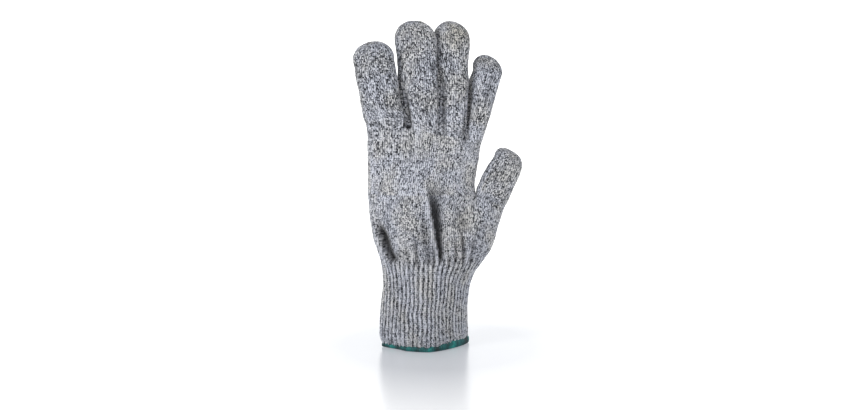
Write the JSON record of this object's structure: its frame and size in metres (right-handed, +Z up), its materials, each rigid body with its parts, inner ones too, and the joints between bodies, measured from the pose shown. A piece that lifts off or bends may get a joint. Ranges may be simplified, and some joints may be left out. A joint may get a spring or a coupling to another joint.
{
  "type": "cut resistant glove",
  "caption": "Seamless knitted cut resistant glove standing on its ribbed cuff, with jointed fingers, thumb and wrist.",
  "frame": {"origin": "on the ground under the middle of the glove's bounding box, the glove standing on its cuff", "axes": "+Z up from the cuff to the fingertips, +X towards the thumb, -Y in front of the palm"},
  "size_m": [0.1231, 0.0498, 0.2395],
  "materials": {
    "marl_knit": "plain knit of grey marl yarn, 13 gauge, matt",
    "rib_knit": "elastic rib of the same grey marl yarn, matt",
    "hem_thread": "dark teal overlock thread, slight sheen",
    "elastic": "pale covered elastic thread"
  },
  "bodies": {
    "cuff": {"cuff": "rib_knit", "hem": "hem_thread", "cuff_elastic": "elastic"},
    "palm": {"lower_palm": "marl_knit", "upper_palm": "marl_knit", "wrist_bend": "marl_knit", "little_finger_base_bend": "marl_knit", "ring_finger_base_bend": "marl_knit", "middle_finger_base_bend": "marl_knit", "index_finger_base_bend": "marl_knit", "thumb_base_bend": "marl_knit"},
    "little_finger_proximal": {"little_finger_proximal": "marl_knit", "little_finger_middle_bend": "marl_knit"},
    "little_finger_middle": {"little_finger_middle": "marl_knit", "little_finger_tip_bend": "marl_knit"},
    "little_finger_tip": {"little_finger_tip": "marl_knit"},
    "ring_finger_proximal": {"ring_finger_proximal": "marl_knit", "ring_finger_middle_bend": "marl_knit"},
    "ring_finger_middle": {"ring_finger_middle": "marl_knit", "ring_finger_tip_bend": "marl_knit"},
    "ring_finger_tip": {"ring_finger_tip": "marl_knit"},
    "middle_finger_proximal": {"middle_finger_proximal": "marl_knit", "middle_finger_middle_bend": "marl_knit"},
    "middle_finger_middle": {"middle_finger_middle": "marl_knit", "middle_finger_tip_bend": "marl_knit"},
    "middle_finger_tip": {"middle_finger_tip": "marl_knit"},
    "index_finger_proximal": {"index_finger_proximal": "marl_knit", "index_finger_middle_bend": "marl_knit"},
    "index_finger_middle": {"index_finger_middle": "marl_knit", "index_finger_tip_bend": "marl_knit"},
    "index_finger_tip": {"index_finger_tip": "marl_knit"},
    "thumb_proximal": {"thumb_proximal": "marl_knit", "thumb_tip_bend": "marl_knit"},
    "thumb_tip": {"thumb_tip": "marl_knit"}
  },
  "joints": [
    {"name": "wrist", "type": "hinge", "parent": "cuff", "child": "palm", "pos_m": [-0.005, 0, 0.062], "axis": [1, 0, 0], "range_deg": [-50, 50], "stiffness_Nm_per_rad": 0.3, "deforming": ["wrist_bend"]},
    {"name": "little_finger_base", "type": "hinge", "parent": "palm", "child": "little_finger_proximal", "pos_m": [-0.04016, -0.0025, 0.169], "axis": [1, 0, 0], "range_deg": [-15, 70], "stiffness_Nm_per_rad": 0.03, "deforming": ["little_finger_base_bend"]},
    {"name": "little_finger_middle", "type": "hinge", "parent": "little_finger_proximal", "child": "little_finger_middle", "pos_m": [-0.04308, -0.0025, 0.187], "axis": [1, 0, 0], "range_deg": [0, 80], "stiffness_Nm_per_rad": 0.02, "deforming": ["little_finger_middle_bend"]},
    {"name": "little_finger_tip", "type": "hinge", "parent": "little_finger_middle", "child": "little_finger_tip", "pos_m": [-0.046, -0.0025, 0.205], "axis": [1, 0, 0], "range_deg": [0, 50], "stiffness_Nm_per_rad": 0.01, "deforming": ["little_finger_tip_bend"]},
    {"name": "ring_finger_base", "type": "hinge", "parent": "palm", "child": "ring_finger_proximal", "pos_m": [-0.01353, -0.0025, 0.168], "axis": [1, 0, 0], "range_deg": [-15, 70], "stiffness_Nm_per_rad": 0.03, "deforming": ["ring_finger_base_bend"]},
    {"name": "ring_finger_middle", "type": "hinge", "parent": "ring_finger_proximal", "child": "ring_finger_middle", "pos_m": [-0.01499, -0.0025, 0.191], "axis": [1, 0, 0], "range_deg": [0, 80], "stiffness_Nm_per_rad": 0.02, "deforming": ["ring_finger_middle_bend"]},
    {"name": "ring_finger_tip", "type": "hinge", "parent": "ring_finger_middle", "child": "ring_finger_tip", "pos_m": [-0.0165, -0.0025, 0.215], "axis": [1, 0, 0], "range_deg": [0, 50], "stiffness_Nm_per_rad": 0.01, "deforming": ["ring_finger_tip_bend"]},
    {"name": "middle_finger_base", "type": "hinge", "parent": "palm", "child": "middle_finger_proximal", "pos_m": [0.00929, -0.0025, 0.165], "axis": [1, 0, 0], "range_deg": [-15, 70], "stiffness_Nm_per_rad": 0.03, "deforming": ["middle_finger_base_bend"]},
    {"name": "middle_finger_middle", "type": "hinge", "parent": "middle_finger_proximal", "child": "middle_finger_middle", "pos_m": [0.00981, -0.0025, 0.189], "axis": [1, 0, 0], "range_deg": [0, 80], "stiffness_Nm_per_rad": 0.02, "deforming": ["middle_finger_middle_bend"]},
    {"name": "middle_finger_tip", "type": "hinge", "parent": "middle_finger_middle", "child": "middle_finger_tip", "pos_m": [0.01033, -0.0025, 0.213], "axis": [1, 0, 0], "range_deg": [0, 50], "stiffness_Nm_per_rad": 0.01, "deforming": ["middle_finger_tip_bend"]},
    {"name": "index_finger_base", "type": "hinge", "parent": "palm", "child": "index_finger_proximal", "pos_m": [0.02748, -0.0025, 0.161], "axis": [1, 0, 0], "range_deg": [-15, 70], "stiffness_Nm_per_rad": 0.03, "deforming": ["index_finger_base_bend"]},
    {"name": "index_finger_middle", "type": "hinge", "parent": "index_finger_proximal", "child": "index_finger_middle", "pos_m": [0.03095, -0.0025, 0.1785], "axis": [1, 0, 0], "range_deg": [0, 80], "stiffness_Nm_per_rad": 0.02, "deforming": ["index_finger_middle_bend"]},
    {"name": "index_finger_tip", "type": "hinge", "parent": "index_finger_middle", "child": "index_finger_tip", "pos_m": [0.03441, -0.0025, 0.196], "axis": [1, 0, 0], "range_deg": [0, 50], "stiffness_Nm_per_rad": 0.01, "deforming": ["index_finger_tip_bend"]},
    {"name": "thumb_base", "type": "hinge", "parent": "palm", "child": "thumb_proximal", "pos_m": [0.04064, -0.0025, 0.11373], "axis": [0.9026, 0, -0.4305], "range_deg": [-10, 45], "stiffness_Nm_per_rad": 0.03, "deforming": ["thumb_base_bend"]},
    {"name": "thumb_tip", "type": "hinge", "parent": "thumb_proximal", "child": "thumb_tip", "pos_m": [0.04624, -0.0025, 0.12546], "axis": [0.9026, 0, -0.4305], "range_deg": [0, 60], "stiffness_Nm_per_rad": 0.01, "deforming": ["thumb_tip_bend"]}
  ],
  "couplings": [
    {"joint": "little_finger_tip", "follows": "little_finger_middle", "ratio": 0.625},
    {"joint": "ring_finger_tip", "follows": "ring_finger_middle", "ratio": 0.625},
    {"joint": "middle_finger_tip", "follows": "middle_finger_middle", "ratio": 0.625},
    {"joint": "index_finger_tip", "follows": "index_finger_middle", "ratio": 0.625}
  ]
}
